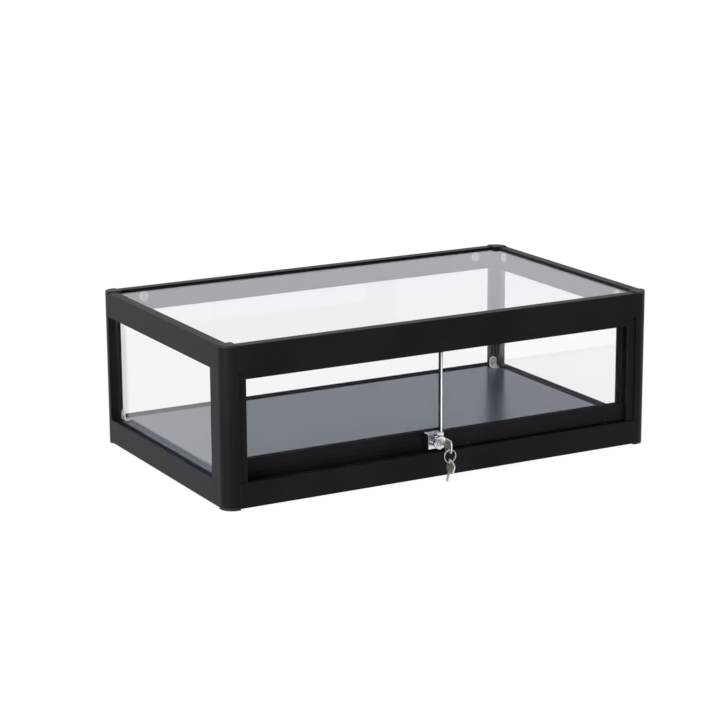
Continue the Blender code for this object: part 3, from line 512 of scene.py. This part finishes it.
def screw_mesh(radius):
    """A domed screw head with a cross recess."""
    height = radius * 0.42
    skirt = -0.0003
    slot_length, slot_width, slot_depth = radius * 1.15, radius * 0.24, height * 1.2
    profile = [(0, height)]
    for angle in range(75, 0, -15):
        a = math.radians(angle)
        profile.append((radius * math.cos(a), height * math.sin(a)))
    profile += [(radius, 0), (radius, skirt), (0, skirt)]
    head = bpy.data.objects.new("head", lathe("head", profile, 32))
    bm = bmesh.new()
    for turn in (0, 90):
        spin = Matrix.Rotation(math.radians(turn), 4, "Z")
        shape = Matrix.Diagonal((slot_length, slot_width, slot_depth, 1))
        made = bmesh.ops.create_cube(bm, size=1.0)["verts"]
        bmesh.ops.transform(bm, matrix=spin @ Matrix.Translation((0, 0, height)) @ shape, verts=made)
    cross_mesh = bpy.data.meshes.new("cross")
    bm.to_mesh(cross_mesh)
    bm.free()
    cross = bpy.data.objects.new("cross", cross_mesh)
    for obj in (head, cross):
        bpy.context.scene.collection.objects.link(obj)
    cut = head.modifiers.new("recess", "BOOLEAN")
    cut.operation = "DIFFERENCE"
    cut.solver = "EXACT"
    cut.use_self = True
    cut.object = cross
    bpy.context.view_layer.update()
    mesh = apply_modifiers(head)
    for obj in (head, cross):
        bpy.data.objects.remove(obj, do_unlink=True)
    return mesh


def add_clip_screws(zinc):
    """One screw in the middle of each clear clip."""
    recess_floor = 0.7 * MM
    small = screw_mesh(2.4 * MM)
    inward = {"back": (0, -1, 0), "left": (1, 0, 0), "right": (-1, 0, 0)}
    for index, name in enumerate(matching("rail_clip")):
        side = name.split("_")[2]
        direction = Vector(inward[side])
        low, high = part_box(name)
        face = (low + high) / 2 + direction * recess_floor
        matrix = facing_frame(face, direction, 0.5 + index)
        add_piece("screw_" + name, small.copy(), zinc, matrix, "case_frame")


def add_bracket_screws(zinc):
    """One screw in the foot and one in the upright leg of each corner bracket."""
    brackets = {
        "corner_bracket_back_left": Vector((1, 0, 0)),
        "corner_bracket_back_right": Vector((0, -1, 0)),
    }
    half_foot = 7.0 * MM
    seat = 2.1 * MM
    foot_hole = 7.5 * MM
    leg_hole = 6.5 * MM
    large = screw_mesh(2.7 * MM)
    for name, out in brackets.items():
        low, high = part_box(name)
        wall = (low + high) / 2 - out * half_foot
        foot = Vector((wall.x, wall.y, low.z)) + out * foot_hole + Vector((0, 0, seat))
        leg = Vector((wall.x, wall.y, high.z - leg_hole)) + out * seat
        for part, place, direction in (("foot", foot, (0, 0, 1)), ("leg", leg, out)):
            matrix = facing_frame(place, direction, 0.4)
            piece = f"screw_{name}_{part}"
            add_piece(piece, large.copy(), zinc, matrix, "case_frame")


def add_cover_screws(black):
    """Two small screws in each side cover, near its upper and lower ends."""
    from_end, from_front, lift = 6 * MM, 5 * MM, 0.05 * MM
    tiny = screw_mesh(1.5 * MM)
    for side, sign in (("left", -1), ("right", 1)):
        low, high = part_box("side_cover_" + side)
        x = low.x if sign < 0 else high.x
        for end, z in (("upper", high.z - from_end), ("lower", low.z + from_end)):
            place = Vector((x + sign * lift, low.y + from_front, z))
            matrix = facing_frame(place, (sign, 0, 0), 0.7)
            piece = f"screw_side_cover_{side}_{end}"
            add_piece(piece, tiny.copy(), black, matrix, "case_frame")


def add_split_ring(steel):
    """Flat-wound split ring of nearly two turns, in place of the plain ring."""
    wire_reach, wire_half_height, rise = 0.55 * MM, 0.40 * MM, 1.15 * MM
    margin = 0.62 * MM
    turns, steps, sides = 1.9, 96, 10
    low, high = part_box("key_ring")
    centre = (low + high) / 2
    radius = (high.x - low.x) / 2 - margin
    bm = bmesh.new()
    rings = []
    start = math.radians(200)
    for i in range(steps + 1):
        t = i / steps
        a = start + 2 * math.pi * turns * t
        lift = (t - 0.5) * rise
        outward = Vector((math.cos(a), 0, math.sin(a)))
        point = centre + outward * radius + Vector((0, lift, 0))
        taper = 1.0 if 0.01 < t < 0.99 else 0.6
        ring = []
        for k in range(sides):
            b = 2 * math.pi * k / sides
            u = wire_reach * math.cos(b) * taper
            v = wire_half_height * math.sin(b) * taper
            ring.append(bm.verts.new(point + outward * u + Vector((0, v, 0))))
        rings.append(ring)
    for first, second in zip(rings, rings[1:]):
        for k in range(sides):
            m = (k + 1) % sides
            bm.faces.new((first[k], first[m], second[m], second[k]))
    bm.faces.new(rings[0][::-1])
    bm.faces.new(rings[-1])
    bmesh.ops.recalc_face_normals(bm, faces=bm.faces)
    mesh = bpy.data.meshes.new("split_ring")
    bm.to_mesh(mesh)
    bm.free()
    obj = add_piece("split_ring", mesh, steel, Matrix.Identity(4), "key_ring", 60)
    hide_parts("key_ring")


# ---------------------------------------------------------------- dressing the case
def dress_case():
    """Give every CAD node its material; returns the one that the made screws and ring share."""
    along_x = black_extrusion("black_rail_x", "X")
    along_y = black_extrusion("black_rail_y", "Y")
    along_z = black_extrusion("black_post", "Z")
    dress(along_x, "top_rail_front", "top_rail_back", "bottom_rail_front", "bottom_rail_back")
    dress(along_x, "door_track_bottom", "door_track_top", "front_door_shoe", "rear_door_shoe")
    dress(along_y, "top_rail_left", "top_rail_right", "bottom_rail_left", "bottom_rail_right")
    dress(along_z, *matching("post_front", "post_back", "jamb_", "side_cover_"))
    dress(black_moulding("black_plastic_grain"), *matching("post_cap_", "foot_"))
    dress(seal_rubber(), "rear_door_seal")
    dress(board_laminate(), "base_board")
    dress(pane_glass("glass_top", "Z", TOP_TINT, 1.5), "top_glass")
    dress(pane_glass("glass_ends", "X", PANE_TINT, 1.38), "glass_left", "glass_right")
    dress(pane_glass("glass_back", "Y", PANE_TINT, 1.40), "glass_back")
    dress(pane_glass("glass_rear_door", "Y", DOOR_TINT, 1.16), "rear_door_glass")
    # The front door's glass edges are painted bright as a highlight.
    dress(pane_glass("glass_painted_bright_edges", "Y", DOOR_TINT, 1.16, True), "front_door_glass")
    for name in matching("top_glass", "glass_", "front_door_glass", "rear_door_glass"):
        NODES[name].visible_shadow = False
    dress(clear_moulding(), *matching("rail_clip", "corner_bracket"))
    # Painted highlight on the chrome's edges; painted dark shade outlines on the turned chrome's
    # edges.
    chrome = plated("chrome", (0.78, 0.79, 0.81), 0.10, (0.95, 0.96, 0.97), 1.0)
    dress(chrome, "lock_body", "lock_strike")
    turned = plated("turned_chrome", (0.84, 0.85, 0.87), 0.10, (0.02, 0.021, 0.024), 1.0, 0.9 * MM)
    dress(turned, "lock_barrel", "lock_plug")
    dress(key_metal(), "key", "spare_key")
    # Painted highlight: the edges of the zinc and the blackened steel are lighter than the metal.
    zinc = plated("zinc_steel", (0.66, 0.66, 0.67), 0.25, (0.85, 0.85, 0.85))
    dark_steel = plated("blackened_steel", (0.06, 0.06, 0.062), 0.45, (0.12, 0.12, 0.12))
    dress(dark_steel, *matching("front_door_axle", "rear_door_axle"))
    dress(zinc, "key_ring")
    dress(nylon(), *matching("front_door_roller", "rear_door_roller"))
    return zinc


add_camera()
add_world()
add_lights()
add_floor()
zinc = dress_case()
add_clip_screws(zinc)
add_bracket_screws(zinc)
add_cover_screws(bpy.data.materials["black_plastic_grain"])
add_split_ring(zinc)
bpy.context.scene.view_settings.view_transform = "Standard"
bpy.context.view_layer.update()
